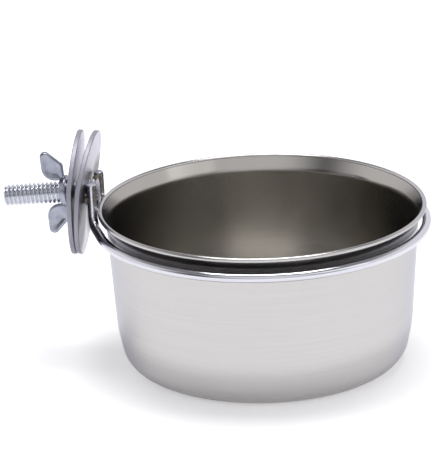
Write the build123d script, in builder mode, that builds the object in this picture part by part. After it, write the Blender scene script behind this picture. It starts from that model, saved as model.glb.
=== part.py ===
from build123d import *
import os
from math import acos, asin, atan2, cos, degrees, hypot, radians, sin, sqrt, tan

os.makedirs("parts", exist_ok=True)

# A seed cup: a steel cup that drops into a wire ring, and a stud with two bent washers and a
# wing nut that clamps the ring to the bars of a cage.
# Millimetres and degrees. The origin is the middle of the cup's base, +Z is up, and the clamp
# points along -X.

# Cup, drawn from one sheet
rim_diameter = 95.25
cup_height = 47.6
sheet = 0.6
bead_diameter = 1.35
flare_width = 1.7
flare_height = 4.4
flare_bend = 4.0
wall_taper = 3.9
shoulder_height = 12.3
shoulder_bend = 45.0
foot_taper = 11.3
base_corner = 7.3

# Ring wire, whose two ends stand up beside the stud
wire_diameter = 2.8
ring_drop = 5.6
ring_clearance = 1.0
upright_spacing = 12.4
upright_height = 6.9
upright_lean = 1.2
wire_bend = 3.2
end_chamfer = 0.2
lift_clearance = 0.1

# Stud with a 1/4-20 thread
thread_diameter = 6.35
thread_pitch = 1.27
thread_depth = 0.72
crest_width = 0.2
root_width = 0.2
stud_reach = 26.9
stud_below_tops = 3.5
stud_droop = 5.2

# Washers, two alike, each bent along a line across its middle
washer_diameter = 36.3
washer_hole = 8.4
washer_thickness = 1.4
washer_bend = 3.6
bend_radius = 2.0
fold_turn = 17.6
inner_tilt = 13.4
inner_yaw = 5.7
inner_sag = 0.6
outer_tilt = 9.2
outer_yaw = 7.9
outer_sag = 0.3
seat_clearance = 0.2
clamp_gap = 1.8

# Wing nut
hub_base_diameter = 10.0
hub_top_diameter = 8.4
hub_height = 1.9
nut_clearance = 0.15
thread_clearance = 0.08
wing_span = 25.0
wing_height = 7.1
wing_foot_diameter = 16.6
wing_foot_rise = 0.55
wing_thickness = 2.0
wing_tip_radius = 1.5
wing_belly_radius = 3.9
wing_edge_round = 0.6
wing_root_sink = 0.65
dish_depth = 0.4
dish_diameter = 6.0

# Weld beads that hold the stud and the inner washer to the uprights
stud_bead_radius = 1.05
stud_bead_length = 4.0
tack_radius = 1.15
tack_drop = 1.0


# Cup: a nearly upright wall, a shoulder where it turns in to the base, and a flared lip
rim_radius = rim_diameter / 2
bead_radius = bead_diameter / 2
lip_radius = rim_radius - bead_radius
lip_height = cup_height - bead_radius
neck_radius = lip_radius - flare_width
neck_height = cup_height - flare_height
taper_run = tan(radians(wall_taper))
shoulder_radius = neck_radius - (neck_height - shoulder_height) * taper_run
base_radius = shoulder_radius - shoulder_height * tan(radians(foot_taper))

with BuildPart() as cup:
    with BuildSketch(Plane.XZ):
        with BuildLine():
            outside = FilletPolyline(
                (0, 0),
                (base_radius, 0),
                (shoulder_radius, shoulder_height),
                (neck_radius, neck_height),
                (lip_radius, lip_height),
                radius=[base_corner, shoulder_bend, flare_bend],
            )
            offset(outside, amount=sheet, side=Side.LEFT)
        make_face()
        with Locations((lip_radius, lip_height)):
            Circle(bead_radius)
    revolve(axis=Axis.Z)
cup.part.label = "cup"
export_step(cup.part, "parts/cup.step")


# Ring wire: up one side of the stud, down, round the cup and up the other side
wire_radius = wire_diameter / 2
half_spacing = upright_spacing / 2
ring_height = cup_height - ring_drop
wall_at_ring = neck_radius - (neck_height - ring_height) * taper_run
ring_radius = wall_at_ring + wire_radius / cos(radians(wall_taper)) + ring_clearance

lean_run = tan(radians(upright_lean))
clear_radius = rim_radius + lift_clearance + wire_radius
upright_at_rim = sqrt(clear_radius**2 - half_spacing**2)
upright_foot = upright_at_rim - (lip_height - ring_height) * lean_run
top_height = cup_height + upright_height
upright_top = upright_foot + (top_height - ring_height) * lean_run
leave_angle = degrees(atan2(half_spacing, upright_foot) + acos(ring_radius / hypot(upright_foot, half_spacing)))


def upright_points(side):
    """The top of an upright, the corner below it and the point where it leaves the ring."""
    top = Vector(-upright_top, side * half_spacing, top_height)
    corner = Vector(-upright_foot, side * half_spacing, ring_height)
    leave = Vector(
        -ring_radius * cos(radians(leave_angle)),
        side * ring_radius * sin(radians(leave_angle)),
        ring_height,
    )
    return top, corner, leave


front_top, front_corner, front_leave = upright_points(-1)
rear_top, rear_corner, rear_leave = upright_points(1)
upright_axis = (front_top - front_corner).normalized()

with BuildPart() as ring_wire:
    with BuildLine() as wire_path:
        FilletPolyline(front_top, front_corner, front_leave, radius=wire_bend)
        CenterArc((0, 0, ring_height), ring_radius, 180 + leave_angle, 360 - 2 * leave_angle)
        FilletPolyline(rear_leave, rear_corner, rear_top, radius=wire_bend)
    with BuildSketch(Plane(front_top, z_dir=-upright_axis)):
        Circle(wire_radius)
    sweep(path=wire_path.wire())
    chamfer(ring_wire.edges().group_by(Axis.Z)[-1], end_chamfer)
ring_wire.part.label = "ring_wire"
export_step(ring_wire.part, "parts/ring_wire.step")


# The clamp's own plane: x to the front upright, y up along the washers, z out along the stud
stud_root = (front_top + rear_top) * 0.5 - upright_axis * stud_below_tops
stud_axis = Vector(-cos(radians(stud_droop)), 0, -sin(radians(stud_droop)))
clamp_plane = Plane(stud_root, x_dir=(0, -1, 0), z_dir=stud_axis)


# Stud: its thread is drawn as ridges, one in each pitch, and its inner end stops between the
# uprights, clear of the rim's path
thread_radius = thread_diameter / 2
root_radius = thread_radius - thread_depth
rim_gap = -stud_root.X - rim_radius
stud_back = rim_gap - lift_clearance - thread_radius * sin(radians(stud_droop))
stud_length = stud_back + stud_reach
flank_width = (thread_pitch - crest_width - root_width) / 2
ridges = int(stud_length / thread_pitch)
first_ridge = (stud_length - ridges * thread_pitch + root_width) / 2


def stud_outline():
    """Points round half of the stud's section: x out from its axis, y along it from its inner end."""
    yield 0, 0
    yield root_radius, 0
    for ridge in range(ridges):
        foot = first_ridge + ridge * thread_pitch
        crest = foot + flank_width
        yield root_radius, foot
        yield thread_radius, crest
        yield thread_radius, crest + crest_width
        yield root_radius, crest + crest_width + flank_width
    yield root_radius, stud_length
    yield 0, stud_length


stud_end = stud_root - stud_axis * stud_back
with BuildPart() as clamp_stud:
    with BuildSketch(Plane(stud_end, x_dir=clamp_plane.y_dir, z_dir=clamp_plane.x_dir)):
        Polygon(*stud_outline(), align=None)
    revolve(axis=Axis(stud_root, stud_axis))
clamp_stud.part.label = "clamp_stud"
export_step(clamp_stud.part, "parts/clamp_stud.step")


# Bent washers: the hollow of each fold faces the cup, and the near end of the fold is raised
washer_radius = washer_diameter / 2
bend_run = tan(radians(washer_bend))
face_rise = washer_thickness / cos(radians(washer_bend))
blank_reach = washer_radius + washer_thickness


def washer_seat(out, sag, yaw, tilt):
    """The plane of a washer's fold, out along the stud: x along the fold, z away from the cup."""
    square = clamp_plane.location * Pos(0, -sag, out)
    return Plane(square * Rot(0, yaw, 0) * Rot(0, 0, fold_turn) * Rot(-tilt, 0, 0))


def bent_washer(seat):
    """A round washer, bent along the x axis of its seat, with its inner crease on that axis."""
    across = Plane(seat.origin, x_dir=seat.y_dir, z_dir=seat.x_dir)
    drop = blank_reach * bend_run
    with BuildPart() as washer:
        with BuildSketch(across) as section:
            Polygon(
                (-blank_reach, -drop),
                (0, 0),
                (blank_reach, -drop),
                (blank_reach, face_rise - drop),
                (0, face_rise),
                (-blank_reach, face_rise - drop),
                align=None,
            )
            fillet(section.vertices().sort_by_distance((0, 0))[0], bend_radius)
            fillet(section.vertices().sort_by(Axis.Y)[-1], bend_radius + washer_thickness)
        extrude(amount=washer_radius, both=True)
        with BuildSketch(seat):
            Circle(washer_radius)
            Circle(washer_hole / 2, mode=Mode.SUBTRACT)
        extrude(amount=washer_radius, both=True, mode=Mode.INTERSECT)
    return washer


# The inner washer leans against the top of the rear upright
fold_sine = sin(radians(fold_turn))
fold_cosine = cos(radians(fold_turn))
top_across = half_spacing * fold_sine + (stud_below_tops + inner_sag) * fold_cosine
top_approach = top_across * tan(radians(inner_tilt + washer_bend)) - half_spacing * tan(radians(inner_yaw))
top_setback = stud_below_tops * tan(radians(stud_droop - upright_lean))
inner_face = wire_radius + seat_clearance + top_approach - top_setback
inner_washer = bent_washer(washer_seat(inner_face, inner_sag, inner_yaw, inner_tilt))
inner_washer.part.label = "inner_washer"
export_step(inner_washer.part, "parts/inner_washer.step")

outer_face = inner_face + washer_thickness + clamp_gap
outer_washer = bent_washer(washer_seat(outer_face, outer_sag, outer_yaw, outer_tilt))
outer_washer.part.label = "outer_washer"
export_step(outer_washer.part, "parts/outer_washer.step")


# Wing nut: a short tapered hub and two dished wings that stand in the upright plane
hub_base_radius = hub_base_diameter / 2
hub_top_radius = hub_top_diameter / 2
washer_slope = hypot(tan(radians(outer_yaw)), tan(radians(outer_tilt - washer_bend)))
nut_out = outer_face + face_rise + hub_base_radius * washer_slope + nut_clearance
nut_plane = clamp_plane.offset(nut_out)
wing_plane = Plane(nut_plane.origin, x_dir=nut_plane.y_dir, z_dir=nut_plane.x_dir)
wing_reach = wing_span / 2
wing_foot = wing_foot_diameter / 2
wing_root = hub_top_radius - wing_root_sink

tip_across = wing_reach - wing_tip_radius - wing_foot
tip_along = wing_height - wing_tip_radius - wing_foot_rise
edge_angle = atan2(tip_along, tip_across) - asin(wing_tip_radius / hypot(tip_across, tip_along))
tip_corner = wing_foot + (wing_height - wing_foot_rise) / tan(edge_angle)
belly_centre = (wing_root + wing_belly_radius, wing_height - wing_belly_radius)
dish_radius = dish_diameter / 2
dish_sphere = (dish_radius**2 + dish_depth**2) / (2 * dish_depth)
dish_out = wing_thickness / 2 + dish_sphere - dish_depth

with BuildPart() as wing:
    with BuildSketch(wing_plane) as leaf:
        Polygon(
            (wing_root, wing_foot_rise),
            (wing_foot, wing_foot_rise),
            (tip_corner, wing_height),
            (wing_root, wing_height),
            align=None,
        )
        crown = leaf.vertices().group_by(Axis.Y)[-1].sort_by(Axis.X)
        fillet(crown[0], wing_belly_radius)
        fillet(leaf.vertices().sort_by(Axis.X)[-1], wing_tip_radius)
    extrude(amount=wing_thickness / 2, both=True)
    fillet(wing.faces().filter_by(wing_plane).edges(), wing_edge_round)
    for side in (1, -1):
        with Locations(wing_plane.location * Pos(*belly_centre, side * dish_out)):
            Sphere(dish_sphere, mode=Mode.SUBTRACT)

outwards = (Align.CENTER, Align.CENTER, Align.MIN)
with BuildPart() as wing_nut:
    with Locations(nut_plane.location):
        Cone(hub_base_radius, hub_top_radius, hub_height, align=outwards)
    add(wing.part)
    mirror(wing.part, about=Plane(nut_plane.origin, z_dir=nut_plane.y_dir))
    with Locations(nut_plane.location):
        Cylinder(thread_radius + thread_clearance, wing_height, align=outwards, mode=Mode.SUBTRACT)
wing_nut.part.label = "wing_nut"
export_step(wing_nut.part, "parts/wing_nut.step")


# Weld beads: two beside the stud, and two tacks between the uprights and the inner washer
bead_across = (thread_radius + half_spacing - wire_radius) / 2
bead_out = stud_bead_radius - stud_back
tack_out = (wire_radius + inner_face) / 2
clamp_place = clamp_plane.location

with BuildPart() as weld_beads:
    for side in (1, -1):
        with Locations(clamp_place * Pos(side * bead_across, 0, bead_out) * Rot(90, 0, 0)):
            Cylinder(stud_bead_radius, stud_bead_length)
        for end in (1, -1):
            with Locations(clamp_place * Pos(side * bead_across, end * stud_bead_length / 2, bead_out)):
                Sphere(stud_bead_radius)
        with Locations(clamp_place * Pos(side * half_spacing, -tack_drop, tack_out)):
            Sphere(tack_radius)
    with Locations(clamp_place):
        Cylinder(thread_radius, 2 * stud_length, mode=Mode.SUBTRACT)
    add(ring_wire.part, mode=Mode.SUBTRACT)
    add(inner_washer.part, mode=Mode.SUBTRACT)
weld_beads.part.label = "weld_beads"
export_step(weld_beads.part, "parts/weld_beads.step")
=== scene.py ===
from math import acos, asin, atan2, cos, hypot, pi, radians, sin, sqrt, tan

import bmesh
import bpy
import numpy as np
from mathutils import Matrix, Vector


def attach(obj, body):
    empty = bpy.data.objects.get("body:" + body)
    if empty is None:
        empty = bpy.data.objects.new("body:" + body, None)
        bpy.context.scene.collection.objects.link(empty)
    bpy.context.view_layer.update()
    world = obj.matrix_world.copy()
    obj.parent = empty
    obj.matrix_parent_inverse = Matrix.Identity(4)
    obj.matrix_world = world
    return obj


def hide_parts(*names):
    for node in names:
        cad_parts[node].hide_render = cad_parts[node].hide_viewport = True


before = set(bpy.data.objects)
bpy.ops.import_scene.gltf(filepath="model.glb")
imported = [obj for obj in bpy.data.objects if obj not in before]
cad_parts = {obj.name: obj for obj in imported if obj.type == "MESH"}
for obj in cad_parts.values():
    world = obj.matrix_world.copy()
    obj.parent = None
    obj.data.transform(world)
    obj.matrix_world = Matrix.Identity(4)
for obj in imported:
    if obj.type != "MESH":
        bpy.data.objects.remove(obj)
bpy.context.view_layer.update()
mm = 0.001


# The cup is a bowl drawn from one stainless steel sheet, with a flared lip that ends in a small
# rolled bead. Its wall was polished on a lathe, so fine lines run round it, inside and out.
rim_radius = 47.625 * mm
cup_height = 47.6 * mm
sheet = 0.6 * mm
bead_radius = 0.675 * mm
flare_width = 1.7 * mm
flare_height = 4.4 * mm
flare_bend = 4.0 * mm
wall_taper = radians(3.9)
shoulder_height = 12.3 * mm
shoulder_bend = 45 * mm
foot_taper = radians(11.3)
base_corner = 7.3 * mm

lip_radius = rim_radius - bead_radius
lip_height = cup_height - bead_radius
neck_radius = lip_radius - flare_width
neck_height = cup_height - flare_height
shoulder_radius = neck_radius - (neck_height - shoulder_height) * tan(wall_taper)
base_radius = shoulder_radius - shoulder_height * tan(foot_taper)

corner_steps = 14
crisp_edge = radians(38)


def rounded(points, radii, steps=corner_steps):
    """Points along straight runs, with each corner between them rounded to its radius."""
    line = [np.array(points[0], float)]
    for before, corner, after, radius in zip(points, points[1:], points[2:], radii):
        corner = np.array(corner, float)
        back = np.array(before, float) - corner
        ahead = np.array(after, float) - corner
        back /= np.linalg.norm(back)
        ahead /= np.linalg.norm(ahead)
        half = acos(np.dot(back, ahead)) / 2
        middle = (back + ahead) / np.linalg.norm(back + ahead)
        centre = corner + middle * radius / sin(half)
        first = corner + back * radius / tan(half) - centre
        last = corner + ahead * radius / tan(half) - centre
        sweep = acos(np.dot(first, last) / radius**2)
        for step in range(steps + 1):
            share = step / steps
            spoke = first * sin((1 - share) * sweep) + last * sin(share * sweep)
            line.append(centre + spoke / sin(sweep))
    line.append(np.array(points[-1], float))
    return line


def turned(name, outline, segments):
    """A closed mesh, turned about Z from (radius, height) points that start and end on the axis."""
    points = []
    faces = []
    angles = np.linspace(0, 2 * pi, segments, endpoint=False)
    rows = []
    for radius, height in outline:
        if radius == 0:
            rows.append([len(points)] * segments)
            points.append((0, 0, height))
            continue
        rows.append(list(range(len(points), len(points) + segments)))
        points.extend((radius * cos(a), radius * sin(a), height) for a in angles)
    for low, high in zip(rows, rows[1:]):
        for k in range(segments):
            after = (k + 1) % segments
            corners = dict.fromkeys((low[k], low[after], high[after], high[k]))
            faces.append(tuple(corners))
    return made(name, points, faces)


def made(name, points, faces):
    """An object in the scene with this mesh, smooth except where its faces meet at a sharp edge."""
    mesh = bpy.data.meshes.new(name)
    mesh.from_pydata([tuple(p) for p in points], [], faces)
    mesh.polygons.foreach_set("use_smooth", [True] * len(mesh.polygons))
    mesh.set_sharp_from_angle(angle=crisp_edge)
    mesh.update()
    thing = bpy.data.objects.new(name, mesh)
    bpy.context.scene.collection.objects.link(thing)
    return thing


outside = rounded(
    [
        (0, 0),
        (base_radius, 0),
        (shoulder_radius, shoulder_height),
        (neck_radius, neck_height),
        (lip_radius, lip_height),
    ],
    [base_corner, shoulder_bend, flare_bend],
)
wall_rows = 10
flare_rows = 12
corner_points = corner_steps + 1


def cut_run(line, start, rows):
    """The line with the straight run after one of its points cut into even rows."""
    first = line[start]
    last = line[start + 1]
    cuts = [first + (last - first) * k / rows for k in range(1, rows)]
    return line[: start + 1] + cuts + line[start + 1 :]


outside = cut_run(outside, 3 * corner_points, flare_rows)
outside = cut_run(outside, 2 * corner_points, wall_rows)


def inset(line, depth):
    """The same line moved to its left by the depth."""
    moved = []
    for k, point in enumerate(line):
        run = line[min(k + 1, len(line) - 1)] - line[max(k - 1, 0)]
        run /= np.linalg.norm(run)
        moved.append(point + depth * np.array((-run[1], run[0])))
    return moved


inside = inset(outside, sheet)
inside[0] = np.array((0, sheet))
lip_run = outside[-1] - outside[-2]
lip_angle = atan2(lip_run[1], lip_run[0])
bead_start = lip_angle - pi
bead_end = lip_angle + pi / 2 + acos(sheet / bead_radius)
bead_steps = 30
bead = []
for step in range(bead_steps + 1):
    angle = bead_start + (bead_end - bead_start) * step / bead_steps
    bead.append(outside[-1] + bead_radius * np.array((cos(angle), sin(angle))))
cup_segments = 288
shell = outside[:-1] + bead
cup = turned("cup_bowl", shell + inside[-2::-1], cup_segments)
for face in cup.data.polygons[(len(shell) - 1) * cup_segments :]:
    face.material_index = 1


def linear(code):
    """A colour written as sRGB hex, as the linear values that a shader takes."""
    shares = [int(code[k : k + 2], 16) / 255 for k in (1, 3, 5)]
    return [s / 12.92 if s <= 0.04045 else ((s + 0.055) / 1.055) ** 2.4 for s in shares] + [1]


def add_node(tree, kind, inputs, **settings):
    """Adds a node with its settings, and fills each input with a value or a link."""
    node = tree.nodes.new(kind)
    for name, value in settings.items():
        setattr(node, name, value)
    for name, value in inputs.items():
        if isinstance(value, bpy.types.NodeSocket):
            tree.links.new(value, node.inputs[name])
        else:
            node.inputs[name].default_value = value
    return node


# Most of the noise texture's values lie in this span
noise_span = {"From Min": 0.3, "From Max": 0.7}


def lathe_polished(name, dark, pale, neck_shade, smooth, dull):
    """Stainless steel with lathe lines round it, a band of painted shade at the neck, and a rougher base."""
    steel = bpy.data.materials.new(name)
    steel.use_nodes = True
    tree = steel.node_tree
    # Real polishing lines are finer. These are as coarse as they need to be to show.
    line_width = 0.5 * mm
    line_length = 40 * mm
    line_depth = 0.02 * mm
    smudge = 18 * mm
    neck_middle = 44.0 * mm
    neck_half = 2.4 * mm
    neck_fade = 0.5 * mm
    base_flat = 1.0 * mm
    base_fade = 4.0 * mm
    base_dulling = 0.3
    place = add_node(tree, "ShaderNodeTexCoord", {}).outputs["Object"]
    parts = add_node(tree, "ShaderNodeSeparateXYZ", {0: place})
    level = add_node(tree, "ShaderNodeVectorMath", {0: place, 1: (1, 1, 0)}, operation="MULTIPLY")
    reach = add_node(tree, "ShaderNodeVectorMath", {0: level.outputs[0]}, operation="LENGTH")
    along = add_node(tree, "ShaderNodeMath", {0: reach.outputs["Value"], 1: parts.outputs["Z"]})
    turned_at = add_node(
        tree,
        "ShaderNodeCombineXYZ",
        {"X": parts.outputs["X"], "Y": parts.outputs["Y"], "Z": along.outputs[0]},
    )
    spread = (1 / line_length, 1 / line_length, 1 / line_width)
    lines_at = add_node(
        tree,
        "ShaderNodeVectorMath",
        {0: turned_at.outputs[0], 1: spread},
        operation="MULTIPLY",
    )
    lines = add_node(tree, "ShaderNodeTexNoise", {"Vector": lines_at.outputs[0], "Scale": 1.0, "Detail": 3.0})
    wipes = add_node(tree, "ShaderNodeTexNoise", {"Vector": place, "Scale": 1 / smudge, "Detail": 2.0})
    tone = add_node(
        tree,
        "ShaderNodeMix",
        {"Factor": lines.outputs["Fac"], "A": linear(dark), "B": linear(pale)},
        data_type="RGBA",
    )
    rough = add_node(
        tree,
        "ShaderNodeMapRange",
        {"Value": wipes.outputs["Fac"], **noise_span, "To Min": smooth, "To Max": dull},
    )
    on_base = add_node(
        tree,
        "ShaderNodeMapRange",
        {
            "Value": parts.outputs["Z"],
            "From Min": base_flat,
            "From Max": base_fade,
            "To Min": base_dulling,
            "To Max": 0.0,
        },
    )
    finish = add_node(tree, "ShaderNodeMath", {0: rough.outputs["Result"], 1: on_base.outputs["Result"]})
    relief = add_node(
        tree,
        "ShaderNodeBump",
        {"Height": lines.outputs["Fac"], "Strength": 0.03, "Distance": line_depth},
    )
    around = add_node(tree, "ShaderNodeTangent", {}, direction_type="RADIAL", axis="Z")
    # The band round the neck is painted shade under the lip, in its own darker colour.
    from_neck = add_node(
        tree,
        "ShaderNodeMath",
        {0: parts.outputs["Z"], 1: neck_middle},
        operation="SUBTRACT",
    )
    off_neck = add_node(tree, "ShaderNodeMath", {0: from_neck.outputs[0]}, operation="ABSOLUTE")
    clear_of_neck_shade = add_node(
        tree,
        "ShaderNodeMapRange",
        {"Value": off_neck.outputs[0], "From Min": neck_half - neck_fade, "From Max": neck_half},
    )
    colour = add_node(
        tree,
        "ShaderNodeMix",
        {"Factor": clear_of_neck_shade.outputs["Result"], "A": linear(neck_shade), "B": tone.outputs["Result"]},
        data_type="RGBA",
    )
    shader = tree.nodes["Principled BSDF"]
    shader.inputs["Metallic"].default_value = 1.0
    shader.inputs["Anisotropic"].default_value = 0.6
    shader.inputs["Anisotropic Rotation"].default_value = 0.25
    shader.inputs["Specular Tint"].default_value = linear("#E4E5EC")
    tree.links.new(colour.outputs["Result"], shader.inputs["Base Color"])
    tree.links.new(finish.outputs[0], shader.inputs["Roughness"])
    tree.links.new(relief.outputs["Normal"], shader.inputs["Normal"])
    tree.links.new(around.outputs["Tangent"], shader.inputs["Tangent"])
    return steel


# The outside is polished to a pale satin. The dark band at its neck is painted shade under the lip.
# The inside is given a darker, warmer tone than the outside, as painted shade in the bowl, and
# the base is rougher than the wall.
satin = lathe_polished("satin_stainless_outside", "#CECBC8", "#D9D7D5", "#5C5A58", 0.20, 0.25)
# The inside's darker, warmer tone is painted shade in the bowl.
shaded_inside = lathe_polished("stainless_inside_painted_shade", "#B8B5AF", "#C4C1BB", "#BEBBB5", 0.16, 0.2)
cup.data.materials.append(satin)
cup.data.materials.append(shaded_inside)
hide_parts("cup")
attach(cup, "cup")


# The ring is one steel wire, bent round the cup under its lip, with both ends turned up side by
# side. It is chrome plated. The heat of the welds has dulled its ends, and left a faint straw tint.
wire_radius = 1.4 * mm
ring_height = 42.0 * mm
ring_clearance = 1.0 * mm
half_spacing = 6.2 * mm
upright_foot = 48.629 * mm
upright_top = 48.891 * mm
top_height = 54.5 * mm
wire_bend = 3.2 * mm
end_chamfer = 0.2 * mm

wall_at_ring = neck_radius - (neck_height - ring_height) * tan(wall_taper)
ring_radius = wall_at_ring + wire_radius / cos(wall_taper) + ring_clearance
leave_angle = atan2(half_spacing, upright_foot) + acos(ring_radius / hypot(upright_foot, half_spacing))


def upright(side):
    """The wire's line from the ring up to one of its ends."""
    leave = (-ring_radius * cos(leave_angle), side * ring_radius * sin(leave_angle), ring_height)
    corner = (-upright_foot, side * half_spacing, ring_height)
    top = (-upright_top, side * half_spacing, top_height)
    return rounded([leave, corner, top], [wire_bend])


def swept(name, line, radius, chamfer, sides=40):
    """A round wire along a line of points, with its two ends chamfered."""
    line = [np.array(p, float) for p in line]
    runs = [line[1] - line[0]]
    for before, after in zip(line, line[2:]):
        runs.append(after - before)
    runs.append(line[-1] - line[-2])
    runs = [run / np.linalg.norm(run) for run in runs]
    stations = [(line[0], runs[0], radius - chamfer), (line[0] + runs[0] * chamfer, runs[0], radius)]
    stations += [(p, run, radius) for p, run in zip(line[1:-1], runs[1:-1])]
    stations += [(line[-1] - runs[-1] * chamfer, runs[-1], radius), (line[-1], runs[-1], radius - chamfer)]
    aslant = (0.3, 0.8, 0.5)
    side = np.cross(runs[0], aslant)
    points = []
    for centre, run, size in stations:
        side = side - run * np.dot(side, run)
        side /= np.linalg.norm(side)
        other = np.cross(run, side)
        for k in range(sides):
            angle = 2 * pi * k / sides
            points.append(centre + size * (side * cos(angle) + other * sin(angle)))
    faces = []
    for row in range(len(stations) - 1):
        for k in range(sides):
            after = (k + 1) % sides
            low = row * sides
            faces.append((low + k, low + after, low + sides + after, low + sides + k))
    last = (len(stations) - 1) * sides
    faces.append(tuple(reversed(range(sides))))
    faces.append(tuple(range(last, last + sides)))
    return made(name, points, faces)


ring_steps = 240
front = upright(-1)
rear = upright(1)
sweep = 2 * pi - 2 * leave_angle
ring_line = front[::-1]
for step in range(1, ring_steps):
    angle = pi + leave_angle + sweep * step / ring_steps
    ring_line.append(np.array((ring_radius * cos(angle), ring_radius * sin(angle), ring_height)))
ring_line += rear
ring = swept("holder_ring_wire", ring_line, wire_radius, end_chamfer)

# Chrome plate over drawn wire: a bright, faintly blue mirror with shallow drawing marks, which are
# coarser than real ones, so that they show.
chrome = bpy.data.materials.new("chrome_plated_wire")
chrome.use_nodes = True
tree = chrome.node_tree
shader = tree.nodes["Principled BSDF"]
shader.inputs["Metallic"].default_value = 1.0
draw_mark = 1.2 * mm
mark_depth = 0.03 * mm
weld_place = (-50.3 * mm, 0, 51.0 * mm)
tint_near = 5.5 * mm
tint_far = 8.5 * mm
tint_share = 0.1
dull_near = 10 * mm
dull_far = 16 * mm
end_dulling = 0.16

place = add_node(tree, "ShaderNodeTexCoord", {}).outputs["Object"]
marks = add_node(tree, "ShaderNodeTexNoise", {"Vector": place, "Scale": 1 / draw_mark, "Detail": 3.0})
away = add_node(tree, "ShaderNodeVectorMath", {0: place, 1: weld_place}, operation="DISTANCE")
heat = add_node(
    tree,
    "ShaderNodeMapRange",
    {
        "Value": away.outputs["Value"],
        "From Min": tint_near,
        "From Max": tint_far,
        "To Min": tint_share,
        "To Max": 0.0,
    },
)
patch = add_node(
    tree,
    "ShaderNodeMath",
    {0: heat.outputs["Result"], 1: marks.outputs["Fac"]},
    operation="MULTIPLY",
)
tone = add_node(
    tree,
    "ShaderNodeMix",
    {"Factor": patch.outputs[0], "A": linear("#E4E4EA"), "B": linear("#B58A4E")},
    data_type="RGBA",
)
bright = add_node(
    tree,
    "ShaderNodeMapRange",
    {"Value": marks.outputs["Fac"], **noise_span, "To Min": 0.07, "To Max": 0.13},
)
dulled = add_node(
    tree,
    "ShaderNodeMapRange",
    {
        "Value": away.outputs["Value"],
        "From Min": dull_near,
        "From Max": dull_far,
        "To Min": end_dulling,
        "To Max": 0.0,
    },
)
rough = add_node(tree, "ShaderNodeMath", {0: bright.outputs["Result"], 1: dulled.outputs["Result"]})
relief = add_node(
    tree,
    "ShaderNodeBump",
    {"Height": marks.outputs["Fac"], "Strength": 0.08, "Distance": mark_depth},
)
tree.links.new(tone.outputs["Result"], shader.inputs["Base Color"])
tree.links.new(rough.outputs[0], shader.inputs["Roughness"])
tree.links.new(relief.outputs["Normal"], shader.inputs["Normal"])
ring.data.materials.append(chrome)
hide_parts("ring_wire")
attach(ring, "holder")


# The stud is a length of zinc plated 1/4-20 threaded rod, welded between the two wire ends. It
# droops a little towards its free end, whose first thread is chamfered.
thread_radius = 3.175 * mm
thread_depth = 0.72 * mm
thread_pitch = 1.27 * mm
crest_width = 0.2 * mm
root_width = 0.2 * mm
stud_root = Vector((-48.8176 * mm, 0, 51.0008 * mm))
stud_droop = radians(5.2)
stud_back = 0.805 * mm
stud_reach = 26.9 * mm
tip_chamfer = 0.55 * mm

stud_axis = Vector((-cos(stud_droop), 0, -sin(stud_droop)))
clamp_up = Vector((-sin(stud_droop), 0, cos(stud_droop)))
clamp_near = Vector((0, -1, 0))
stud_length = stud_back + stud_reach
flank_width = (thread_pitch - crest_width - root_width) / 2


def clamp_matrix(out):
    """The clamp's own frame, out along the stud: x to the front upright, y up, z along the stud."""
    turn = Matrix((clamp_near, clamp_up, stud_axis)).transposed().to_4x4()
    return Matrix.Translation(stud_root + stud_axis * out) @ turn


def thread_height(along):
    """The radius of the thread at a distance along its own pitch."""
    share = along % thread_pitch
    climb = (share - root_width) / flank_width
    fall = (thread_pitch - share) / flank_width
    return thread_radius - thread_depth * (1 - max(0.0, min(1.0, climb, fall)))


thread_sides = 72
thread_rows = [0, root_width, root_width + flank_width / 2, root_width + flank_width]
thread_rows += [thread_pitch - flank_width, thread_pitch - flank_width / 2]
rows_in_pitch = len(thread_rows)
spare_turns = 3
points = []
turns = int(stud_length / thread_pitch) + spare_turns
# The helix runs past both ends of the stud, and its spare turns are flattened onto them
for turn in range(-1, turns):
    for row in thread_rows:
        for k in range(thread_sides):
            lead = thread_pitch * k / thread_sides
            height = min(max(turn * thread_pitch + row + lead - thread_pitch, 0.0), stud_length)
            radius = thread_height(height - lead)
            radius = min(radius, thread_radius - tip_chamfer + (stud_length - height))
            angle = 2 * pi * k / thread_sides
            points.append((radius * cos(angle), radius * sin(angle), height))
faces = []
for row in range((turns + 1) * rows_in_pitch - 1):
    for k in range(thread_sides - 1):
        low = row * thread_sides + k
        faces.append((low, low + 1, low + thread_sides + 1, low + thread_sides))
    # Round the stud, the last column meets the first one a pitch further along
    wrap = row + rows_in_pitch
    if wrap + 1 < (turns + 1) * rows_in_pitch:
        low = row * thread_sides + thread_sides - 1
        faces.append((low, wrap * thread_sides, (wrap + 1) * thread_sides, low + thread_sides))
stud = made("clamp_stud_thread", points, faces)


def closed(thing):
    """Merges a mesh's doubled points, closes its open ends with fans and points its faces outwards."""
    doubled = 0.004 * mm
    sliver = 0.002 * mm
    body = bmesh.new()
    body.from_mesh(thing.data)
    bmesh.ops.remove_doubles(body, verts=body.verts, dist=doubled)
    bmesh.ops.dissolve_degenerate(body, edges=body.edges, dist=sliver)
    ends = [edge for edge in body.edges if edge.is_boundary]
    caps = bmesh.ops.holes_fill(body, edges=ends, sides=0)["faces"]
    bmesh.ops.poke(body, faces=caps)
    bmesh.ops.recalc_face_normals(body, faces=body.faces)
    body.to_mesh(thing.data)
    body.free()
    thing.data.polygons.foreach_set("use_smooth", [True] * len(thing.data.polygons))
    thing.data.set_sharp_from_angle(angle=crisp_edge)


closed(stud)
stud.data.transform(clamp_matrix(-stud_back))

# Bright zinc plate on a cut thread: a pale, cool grey, a little dulled, with painted shade in the
# roots. Its grain is coarser than the real one, so that it shows.
zinc = bpy.data.materials.new("zinc_plated_fastener")
zinc.use_nodes = True
tree = zinc.node_tree
shader = tree.nodes["Principled BSDF"]
shader.inputs["Metallic"].default_value = 1.0
plate_grain = 0.7 * mm
grain_depth = 0.05 * mm
plate_cloud = 5 * mm

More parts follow.
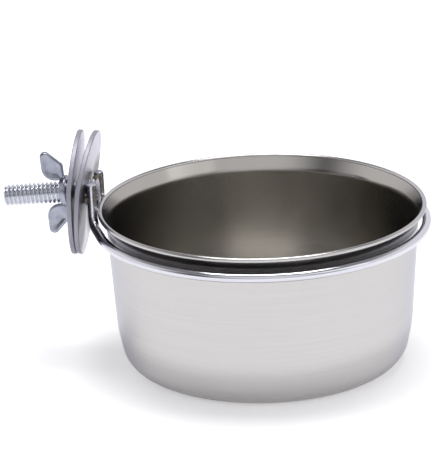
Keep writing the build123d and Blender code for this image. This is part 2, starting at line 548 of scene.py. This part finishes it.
place = add_node(tree, "ShaderNodeTexCoord", {}).outputs["Object"]
grain = add_node(tree, "ShaderNodeTexNoise", {"Vector": place, "Scale": 1 / plate_grain, "Detail": 4.0})
cloud = add_node(tree, "ShaderNodeTexNoise", {"Vector": place, "Scale": 1 / plate_cloud, "Detail": 2.0})
crests = add_node(
    tree,
    "ShaderNodeMix",
    {"Factor": cloud.outputs["Fac"], "A": linear("#E4E6EC"), "B": linear("#F0F1F5")},
    data_type="RGBA",
)
from_root = add_node(tree, "ShaderNodeVectorMath", {0: place, 1: stud_root}, operation="SUBTRACT")
across = add_node(
    tree,
    "ShaderNodeVectorMath",
    {0: from_root.outputs[0], 1: stud_axis},
    operation="CROSS_PRODUCT",
)
reach = add_node(tree, "ShaderNodeVectorMath", {0: across.outputs[0]}, operation="LENGTH")
# The thread's roots are painted darker than its crests, as painted shade in the grooves.
clear_of_root_shade = add_node(
    tree,
    "ShaderNodeMapRange",
    {"Value": reach.outputs["Value"], "From Min": thread_radius - thread_depth, "From Max": thread_radius},
)
tone = add_node(
    tree,
    "ShaderNodeMix",
    {"Factor": clear_of_root_shade.outputs["Result"], "A": linear("#D2D4DC"), "B": crests.outputs["Result"]},
    data_type="RGBA",
)
rough = add_node(
    tree,
    "ShaderNodeMapRange",
    {"Value": grain.outputs["Fac"], **noise_span, "To Min": 0.2, "To Max": 0.28},
)
relief = add_node(
    tree,
    "ShaderNodeBump",
    {"Height": grain.outputs["Fac"], "Strength": 0.05, "Distance": grain_depth},
)
tree.links.new(tone.outputs["Result"], shader.inputs["Base Color"])
tree.links.new(rough.outputs["Result"], shader.inputs["Roughness"])
tree.links.new(relief.outputs["Normal"], shader.inputs["Normal"])
stud.data.materials.append(zinc)
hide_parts("clamp_stud")
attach(stud, "holder")


# Weld beads hold the stud between the uprights and tack the inner washer to them. They are rippled
# lumps of mild steel, browned by the heat.
weld = bpy.data.materials.new("heat_tinted_weld")
weld.use_nodes = True
tree = weld.node_tree
shader = tree.nodes["Principled BSDF"]
shader.inputs["Metallic"].default_value = 1.0
ripple = 0.8 * mm
ripple_depth = 0.15 * mm

place = add_node(tree, "ShaderNodeTexCoord", {}).outputs["Object"]
ripples = add_node(tree, "ShaderNodeTexNoise", {"Vector": place, "Scale": 1 / ripple, "Detail": 3.0})
tone = add_node(
    tree,
    "ShaderNodeMix",
    {"Factor": ripples.outputs["Fac"], "A": linear("#5C5750"), "B": linear("#938A7C")},
    data_type="RGBA",
)
rough = add_node(
    tree,
    "ShaderNodeMapRange",
    {"Value": ripples.outputs["Fac"], **noise_span, "To Min": 0.3, "To Max": 0.5},
)
relief = add_node(
    tree,
    "ShaderNodeBump",
    {"Height": ripples.outputs["Fac"], "Strength": 0.5, "Distance": ripple_depth},
)
tree.links.new(tone.outputs["Result"], shader.inputs["Base Color"])
tree.links.new(rough.outputs["Result"], shader.inputs["Roughness"])
tree.links.new(relief.outputs["Normal"], shader.inputs["Normal"])
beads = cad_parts["weld_beads"]
beads.data.materials.clear()
beads.data.materials.append(weld)


# The two washers are punched from sheet and bent across the middle, so that they grip round bars.
# The inner one is tacked to the uprights, and the outer one is loose on the stud.
washer_radius = 18.15 * mm
washer_hole = 4.2 * mm
washer_thickness = 1.4 * mm
washer_bend = radians(3.6)
crease_width = 0.5 * mm
edge_round = 0.28 * mm
fold_turn = radians(17.6)
inner_out = 2.5044 * mm
inner_sag = 0.6 * mm
inner_yaw = radians(5.7)
inner_tilt = radians(13.4)
outer_out = 5.7044 * mm
outer_sag = 0.3 * mm
outer_yaw = radians(7.9)
outer_tilt = radians(9.2)

# The outline's rows start with the outer rim and end with the face towards the cup
edge_dots = 7
spokes = 22
rim_rows = 2 * edge_dots - 1
face_rows = 4 * edge_dots + spokes - 2


def washer_outline():
    """The washer's cut edge to edge, as (radius, height) points with rounded corners."""
    low = edge_round
    high = washer_thickness - edge_round
    line = []
    for centre, start in (
        ((washer_radius - edge_round, low), -pi / 2),
        ((washer_radius - edge_round, high), 0),
        ((washer_hole + edge_round, high), pi / 2),
        ((washer_hole + edge_round, low), pi),
    ):
        for step in range(edge_dots):
            angle = start + pi / 2 * step / (edge_dots - 1)
            line.append((centre[0] + edge_round * cos(angle), centre[1] + edge_round * sin(angle)))
        if start in (0, pi):
            edge = line[-1]
            goal = washer_hole + edge_round if start == 0 else washer_radius - edge_round
            for step in range(1, spokes):
                line.append((edge[0] + (goal - edge[0]) * step / spokes, edge[1]))
    return line


def ring_faces(columns, rows):
    """The faces of a closed outline that is carried round in columns of points."""
    faces = []
    for k in range(columns):
        here = k * rows
        beside = (k + 1) % columns * rows
        for row in range(rows):
            after = (row + 1) % rows
            faces.append((here + row, beside + row, beside + after, here + after))
    return faces


def bent_washer(name, seat):
    """A washer with its fold along the seat's x axis and its hollow side facing the cup."""
    line = washer_outline()
    columns = 320
    points = []
    for k in range(columns):
        angle = 2 * pi * k / columns
        for radius, height in line:
            across = radius * sin(angle)
            drop = tan(washer_bend) * (sqrt(across**2 + crease_width**2) - crease_width)
            points.append((radius * cos(angle), across, height - drop))
    washer = made(name, points, ring_faces(columns, len(line)))
    washer.data.transform(seat)
    for count, face in enumerate(washer.data.polygons):
        row = count % len(line)
        if row < rim_rows:
            face.material_index = 1
        elif row >= face_rows:
            face.material_index = 2
    return washer


def washer_seat(out, sag, yaw, tilt):
    """Where a washer sits: out along the stud, down by its slack, and leaning two ways."""
    lean = Matrix.Rotation(yaw, 4, "Y")
    fold = Matrix.Rotation(fold_turn, 4, "Z")
    rock = Matrix.Rotation(-tilt, 4, "X")
    return clamp_matrix(out) @ Matrix.Translation((0, -sag, 0)) @ lean @ fold @ rock


inner_washer = bent_washer("inner_bent_washer", washer_seat(inner_out, inner_sag, inner_yaw, inner_tilt))
outer_washer = bent_washer("outer_bent_washer", washer_seat(outer_out, outer_sag, outer_yaw, outer_tilt))


def zinc_sheet(name, dark, pale, smooth, dull, shade_share):
    """Zinc plate on rolled sheet, with a share of painted shade round and below the tacks."""
    plated = bpy.data.materials.new(name)
    plated.use_nodes = True
    tree = plated.node_tree
    # Real rolling marks are finer. These are as coarse as they need to be to show.
    roll_mark = 0.6 * mm
    roll_length = 9 * mm
    roll_depth = 0.03 * mm
    shade_centre = (50.3 * mm, 11 * mm, 46 * mm)
    shade_near = 9 * mm
    shade_far = 13 * mm
    place = add_node(tree, "ShaderNodeTexCoord", {}).outputs["Object"]
    spread = (1 / roll_mark, 1 / roll_mark, 1 / roll_length)
    rolled_at = add_node(tree, "ShaderNodeVectorMath", {0: place, 1: spread}, operation="MULTIPLY")
    rolled = add_node(
        tree,
        "ShaderNodeTexNoise",
        {"Vector": rolled_at.outputs[0], "Scale": 1.0, "Detail": 3.0},
    )
    cloud = add_node(tree, "ShaderNodeTexNoise", {"Vector": place, "Scale": 1 / plate_cloud, "Detail": 2.0})
    sheen = add_node(
        tree,
        "ShaderNodeMix",
        {"Factor": cloud.outputs["Fac"], "A": linear(dark), "B": linear(pale)},
        data_type="RGBA",
    )
    # The painted shade is the same on both sides of the stud, so places are taken without their signs
    both_sides = add_node(tree, "ShaderNodeVectorMath", {0: place}, operation="ABSOLUTE")
    from_shade_centre = add_node(
        tree,
        "ShaderNodeVectorMath",
        {0: both_sides.outputs[0], 1: shade_centre},
        operation="DISTANCE",
    )
    shade_mask = add_node(
        tree,
        "ShaderNodeMapRange",
        {
            "Value": from_shade_centre.outputs["Value"],
            "From Min": shade_near,
            "From Max": shade_far,
            "To Min": shade_share,
            "To Max": 0.0,
        },
    )
    # The dark grey mixed in here is painted shade.
    tone = add_node(
        tree,
        "ShaderNodeMix",
        {"Factor": shade_mask.outputs["Result"], "A": sheen.outputs["Result"], "B": linear("#55555D")},
        data_type="RGBA",
    )
    rough = add_node(
        tree,
        "ShaderNodeMapRange",
        {"Value": rolled.outputs["Fac"], **noise_span, "To Min": smooth, "To Max": dull},
    )
    relief = add_node(
        tree,
        "ShaderNodeBump",
        {"Height": rolled.outputs["Fac"], "Strength": 0.06, "Distance": roll_depth},
    )
    shader = tree.nodes["Principled BSDF"]
    shader.inputs["Metallic"].default_value = 1.0
    tree.links.new(tone.outputs["Result"], shader.inputs["Base Color"])
    tree.links.new(rough.outputs["Result"], shader.inputs["Roughness"])
    tree.links.new(relief.outputs["Normal"], shader.inputs["Normal"])
    return plated


# The faces are a pale, faintly violet satin with rolling marks. The punched rims are rougher and
# duller. The faces towards the cup are darkened round and below the tacks, as painted shade.
plate = zinc_sheet("bright_zinc_plate", "#D0CEDA", "#DCDBE4", 0.28, 0.36, 0.0)
punched = zinc_sheet("punched_zinc_rim", "#A6A5B0", "#B2B1BA", 0.55, 0.62, 0.0)
shaded_plate = zinc_sheet("zinc_plate_with_painted_shade", "#D0CEDA", "#DCDBE4", 0.28, 0.36, 0.95)
for washer, node, body in (
    (inner_washer, "inner_washer", "holder"),
    (outer_washer, "outer_washer", "outer_washer"),
):
    washer.data.materials.append(plate)
    washer.data.materials.append(punched)
    washer.data.materials.append(shaded_plate)
    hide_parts(node)
    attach(washer, body)


# The wing nut is a zinc plated casting: a short tapered hub with two dished wings, which run into
# the hub in soft fillets. It bears on the outer washer.
nut_out = 8.1067 * mm
hub_base_radius = 5.0 * mm
hub_top_radius = 4.2 * mm
hub_height = 1.9 * mm
bore_radius = 3.4 * mm
hub_edge = 0.3 * mm
bore_edge = 0.15 * mm
wing_reach = 12.5 * mm
wing_height = 7.1 * mm
wing_foot = 8.3 * mm
wing_foot_rise = 0.55 * mm
wing_root = 3.55 * mm
wing_half = 1.0 * mm
wing_tip_radius = 1.5 * mm
wing_belly_radius = 3.9 * mm
wing_edge = 0.75 * mm
root_corner = 0.3 * mm
foot_corner = 0.6 * mm
dish_depth = 0.45 * mm
dish_inwards = 0.6 * mm
dish_level = 0.55
dish_start = 0.1
dish_slope = 0.6
leaf_rings = [0, 0.04, 0.08, 0.14, 0.22, 0.32, 0.44, 0.58, 0.74, 0.9]
nut_voxel = 0.11 * mm
nut_smoothing = 8

tip_across = wing_reach - wing_tip_radius - wing_foot
tip_along = wing_height - wing_tip_radius - wing_foot_rise
edge_angle = atan2(tip_along, tip_across) - asin(wing_tip_radius / hypot(tip_across, tip_along))
tip_corner = wing_foot + (wing_height - wing_foot_rise) / tan(edge_angle)


def wing_leaf(side):
    """One wing in the plane of the stud: rounded edges, and a shallow dish on each face."""
    corners = [
        (wing_root, (wing_foot_rise + wing_height) / 2),
        (wing_root, wing_foot_rise),
        (wing_foot, wing_foot_rise),
        (tip_corner, wing_height),
        (wing_root, wing_height),
        (wing_root, (wing_foot_rise + wing_height) / 2),
    ]
    radii = [root_corner, foot_corner, wing_tip_radius, wing_belly_radius]
    edge = rounded(corners, radii, steps=12)[:-1]
    middle = np.array(((wing_root + wing_reach) / 2 - dish_inwards, dish_level * wing_height))
    points = []
    for face in (1, -1):
        for share in leaf_rings:
            for spot in edge:
                away = np.linalg.norm(spot - middle) * share
                rise = min(1.0, away / wing_edge)
                height = wing_half * sqrt(1 - (1 - rise) ** 2)
                into_dish = min(1.0, max(0.0, share - dish_start) / dish_slope)
                height -= dish_depth * (0.5 - 0.5 * cos(pi * into_dish))
                flat = spot + (middle - spot) * share
                points.append((face * height, side * flat[0], flat[1]))
        points.append((face * (wing_half - dish_depth), side * middle[0], middle[1]))
    count = len(edge)
    half = len(leaf_rings) * count + 1
    faces = []
    for face in range(2):
        base = face * half
        for ring_row in range(len(leaf_rings) - 1):
            low = base + ring_row * count
            for k in range(count):
                after = (k + 1) % count
                faces.append((low + k, low + after, low + count + after, low + count + k))
        low = base + (len(leaf_rings) - 1) * count
        for k in range(count):
            faces.append((low + k, low + (k + 1) % count, base + half - 1))
    leaf = made("wing_leaf", points, faces)
    closed(leaf)
    return leaf


def hub_ring():
    """The hub, turned with its bore open and its edges rounded."""
    corners = [
        (bore_radius, hub_height / 2),
        (bore_radius, 0),
        (hub_base_radius, 0),
        (hub_top_radius, hub_height),
        (bore_radius, hub_height),
        (bore_radius, hub_height / 2),
    ]
    edge = rounded(corners, [bore_edge, hub_edge, hub_edge, bore_edge], steps=6)[:-1]
    columns = 96
    points = []
    for k in range(columns):
        angle = 2 * pi * k / columns
        for radius, height in edge:
            points.append((radius * cos(angle), radius * sin(angle), height))
    hub = made("hub_ring", points, ring_faces(columns, len(edge)))
    closed(hub)
    return hub


def fused(name, lumps, voxel, rounds):
    """One skin round several lumps that run into each other, smoothed where they meet."""
    body = bmesh.new()
    for lump in lumps:
        body.from_mesh(lump.data)
        bpy.data.objects.remove(lump)
    mesh = bpy.data.meshes.new(name)
    body.to_mesh(mesh)
    body.free()
    thing = bpy.data.objects.new(name, mesh)
    bpy.context.scene.collection.objects.link(thing)
    skin = thing.modifiers.new("skin", "REMESH")
    skin.mode = "VOXEL"
    skin.voxel_size = voxel
    soft = thing.modifiers.new("soft", "SMOOTH")
    soft.factor = 0.5
    soft.iterations = rounds
    bpy.context.view_layer.update()
    worked_out = thing.evaluated_get(bpy.context.evaluated_depsgraph_get())
    shaped = bpy.data.meshes.new_from_object(worked_out)
    thing.modifiers.clear()
    thing.data = shaped
    shaped.name = name
    shaped.polygons.foreach_set("use_smooth", [True] * len(shaped.polygons))
    return thing


nut = fused("wing_nut_casting", [hub_ring(), wing_leaf(1), wing_leaf(-1)], nut_voxel, nut_smoothing)
nut.data.transform(clamp_matrix(nut_out))

# Zinc plate on a rough casting: blue-grey clouds over a soft, uneven skin
casting = bpy.data.materials.new("zinc_plated_casting")
casting.use_nodes = True
tree = casting.node_tree
shader = tree.nodes["Principled BSDF"]
shader.inputs["Metallic"].default_value = 1.0
cast_cloud = 3 * mm
cast_depth = 0.15 * mm

place = add_node(tree, "ShaderNodeTexCoord", {}).outputs["Object"]
clouds = add_node(tree, "ShaderNodeTexNoise", {"Vector": place, "Scale": 1 / cast_cloud, "Detail": 3.0})
tone = add_node(
    tree,
    "ShaderNodeMix",
    {"Factor": clouds.outputs["Fac"], "A": linear("#666C80"), "B": linear("#CDD0DA")},
    data_type="RGBA",
)
rough = add_node(
    tree,
    "ShaderNodeMapRange",
    {"Value": clouds.outputs["Fac"], **noise_span, "To Min": 0.2, "To Max": 0.3},
)
relief = add_node(
    tree,
    "ShaderNodeBump",
    {"Height": clouds.outputs["Fac"], "Strength": 0.2, "Distance": cast_depth},
)
tree.links.new(tone.outputs["Result"], shader.inputs["Base Color"])
tree.links.new(rough.outputs["Result"], shader.inputs["Roughness"])
tree.links.new(relief.outputs["Normal"], shader.inputs["Normal"])
nut.data.materials.append(casting)
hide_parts("wing_nut")
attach(nut, "wing_nut")


# The floor is a wide sheet of white studio paper that the cup stands on. It is lifted to white for
# the camera and a little for reflections, and keeps the cup's shadow.
floor_size = 6.0
camera_lift = 0.33
mirror_lift = 0.15
floor_mesh = bpy.data.meshes.new("studio_paper")
half = floor_size / 2
floor_mesh.from_pydata(
    [(-half, -half, 0), (half, -half, 0), (half, half, 0), (-half, half, 0)],
    [],
    [(0, 1, 2, 3)],
)
floor = bpy.data.objects.new("studio_paper", floor_mesh)
bpy.context.scene.collection.objects.link(floor)
paper = bpy.data.materials.new("white_studio_paper")
paper.use_nodes = True
tree = paper.node_tree
tree.nodes.remove(tree.nodes["Principled BSDF"])
output = tree.nodes["Material Output"]
rays = add_node(tree, "ShaderNodeLightPath", {})
mirrored = add_node(
    tree,
    "ShaderNodeMath",
    {0: rays.outputs["Is Glossy Ray"], 1: mirror_lift},
    operation="MULTIPLY",
)
lift = add_node(
    tree,
    "ShaderNodeMath",
    {0: rays.outputs["Is Camera Ray"], 1: camera_lift, 2: mirrored.outputs[0]},
    operation="MULTIPLY_ADD",
)
matt = add_node(tree, "ShaderNodeBsdfDiffuse", {"Color": linear("#F6F6F8")})
glow = add_node(tree, "ShaderNodeEmission", {"Color": linear("#FFFFFF"), "Strength": lift.outputs[0]})
both = add_node(tree, "ShaderNodeAddShader", {0: matt.outputs[0], 1: glow.outputs[0]})
tree.links.new(both.outputs[0], output.inputs["Surface"])
floor_mesh.materials.append(paper)

# The room is light along the horizon and grey overhead. It is dim in front of the cup, apart from
# one soft glow high up there. The camera itself sees a white backdrop.
ceiling_start = 0.45
ceiling_full = 0.8
front_full = -0.8
front_end = -0.2
glow_way = Vector((0.2, -0.8, 0.58)).normalized()
glow_rim = 0.6
glow_core = 0.98

world = bpy.data.worlds.new("studio_room")
bpy.context.scene.world = world
world.use_nodes = True
tree = world.node_tree
room = tree.nodes["Background"]
way = add_node(tree, "ShaderNodeTexCoord", {}).outputs["Generated"]
parts = add_node(tree, "ShaderNodeSeparateXYZ", {0: way})
overhead = add_node(
    tree,
    "ShaderNodeMapRange",
    {"Value": parts.outputs["Z"], "From Min": ceiling_start, "From Max": ceiling_full},
    interpolation_type="SMOOTHSTEP",
)
walls = add_node(
    tree,
    "ShaderNodeMix",
    {"Factor": overhead.outputs["Result"], "A": linear("#E8E7EB"), "B": linear("#7C7C80")},
    data_type="RGBA",
)
past_front = add_node(
    tree,
    "ShaderNodeMapRange",
    {"Value": parts.outputs["Y"], "From Min": front_full, "From Max": front_end},
    interpolation_type="SMOOTHSTEP",
)
facing = add_node(tree, "ShaderNodeVectorMath", {0: way, 1: glow_way}, operation="DOT_PRODUCT")
soft_glow = add_node(
    tree,
    "ShaderNodeMapRange",
    {"Value": facing.outputs["Value"], "From Min": glow_rim, "From Max": glow_core},
    interpolation_type="SMOOTHSTEP",
)
front_tone = add_node(
    tree,
    "ShaderNodeMix",
    {"Factor": soft_glow.outputs["Result"], "A": linear("#3C3C3E"), "B": linear("#E2E2E6")},
    data_type="RGBA",
)
room_tone = add_node(
    tree,
    "ShaderNodeMix",
    {
        "Factor": past_front.outputs["Result"],
        "A": front_tone.outputs["Result"],
        "B": walls.outputs["Result"],
    },
    data_type="RGBA",
)
seen = add_node(tree, "ShaderNodeLightPath", {}).outputs["Is Camera Ray"]
tone = add_node(
    tree,
    "ShaderNodeMix",
    {"Factor": seen, "A": room_tone.outputs["Result"], "B": linear("#FFFFFF")},
    data_type="RGBA",
)
tree.links.new(tone.outputs["Result"], room.inputs["Color"])


def softbox(name, place, goal, width, height, power):
    """A rectangular studio lamp, turned to its goal."""
    lamp = bpy.data.lights.new(name, "AREA")
    lamp.shape = "RECTANGLE"
    lamp.size = width
    lamp.size_y = height
    lamp.energy = power
    thing = bpy.data.objects.new(name, lamp)
    thing.location = place
    thing.rotation_euler = (Vector(goal) - Vector(place)).to_track_quat("-Z", "Y").to_euler()
    bpy.context.scene.collection.objects.link(thing)


softbox("overhead_softbox", place=(0, 0.1, 1.2), goal=(0, 0, 0), width=0.8, height=0.5, power=9)
softbox("right_softbox", place=(1.1, -0.5, 0.8), goal=(0, 0, 0.03), width=0.9, height=0.9, power=0.9)

# The camera looks down at the cup from the front, with the clamp on its left. Its angles and its aim
# were fitted to the cup's edges, and its sensor spans the picture's longer side, which is its height.
camera_turn = radians(9.0)
camera_rise = radians(19.30)
camera_roll = radians(1.84)
camera_distance = 1000 * mm
aim_aside = -12.38 * mm
aim_height = 39.26 * mm
picture_height = 464
focal_pixels = 3447
camera_data = bpy.data.cameras.new("studio_camera")
camera_data.sensor_width = 36
camera_data.lens = focal_pixels * camera_data.sensor_width / picture_height
camera = bpy.data.objects.new("studio_camera", camera_data)
right = Vector((cos(camera_turn), sin(camera_turn), 0))
back = Vector((sin(camera_turn) * cos(camera_rise), -cos(camera_turn) * cos(camera_rise), sin(camera_rise)))
up = back.cross(right)
aim = right * aim_aside + Vector((0, 0, aim_height))
level = right * cos(camera_roll) - up * sin(camera_roll)
plumb = right * sin(camera_roll) + up * cos(camera_roll)
turn = Matrix((level, plumb, back)).transposed().to_4x4()
camera.matrix_world = Matrix.Translation(aim + back * camera_distance) @ turn
bpy.context.scene.collection.objects.link(camera)
bpy.context.scene.camera = camera
bpy.context.scene.view_settings.view_transform = "Standard"
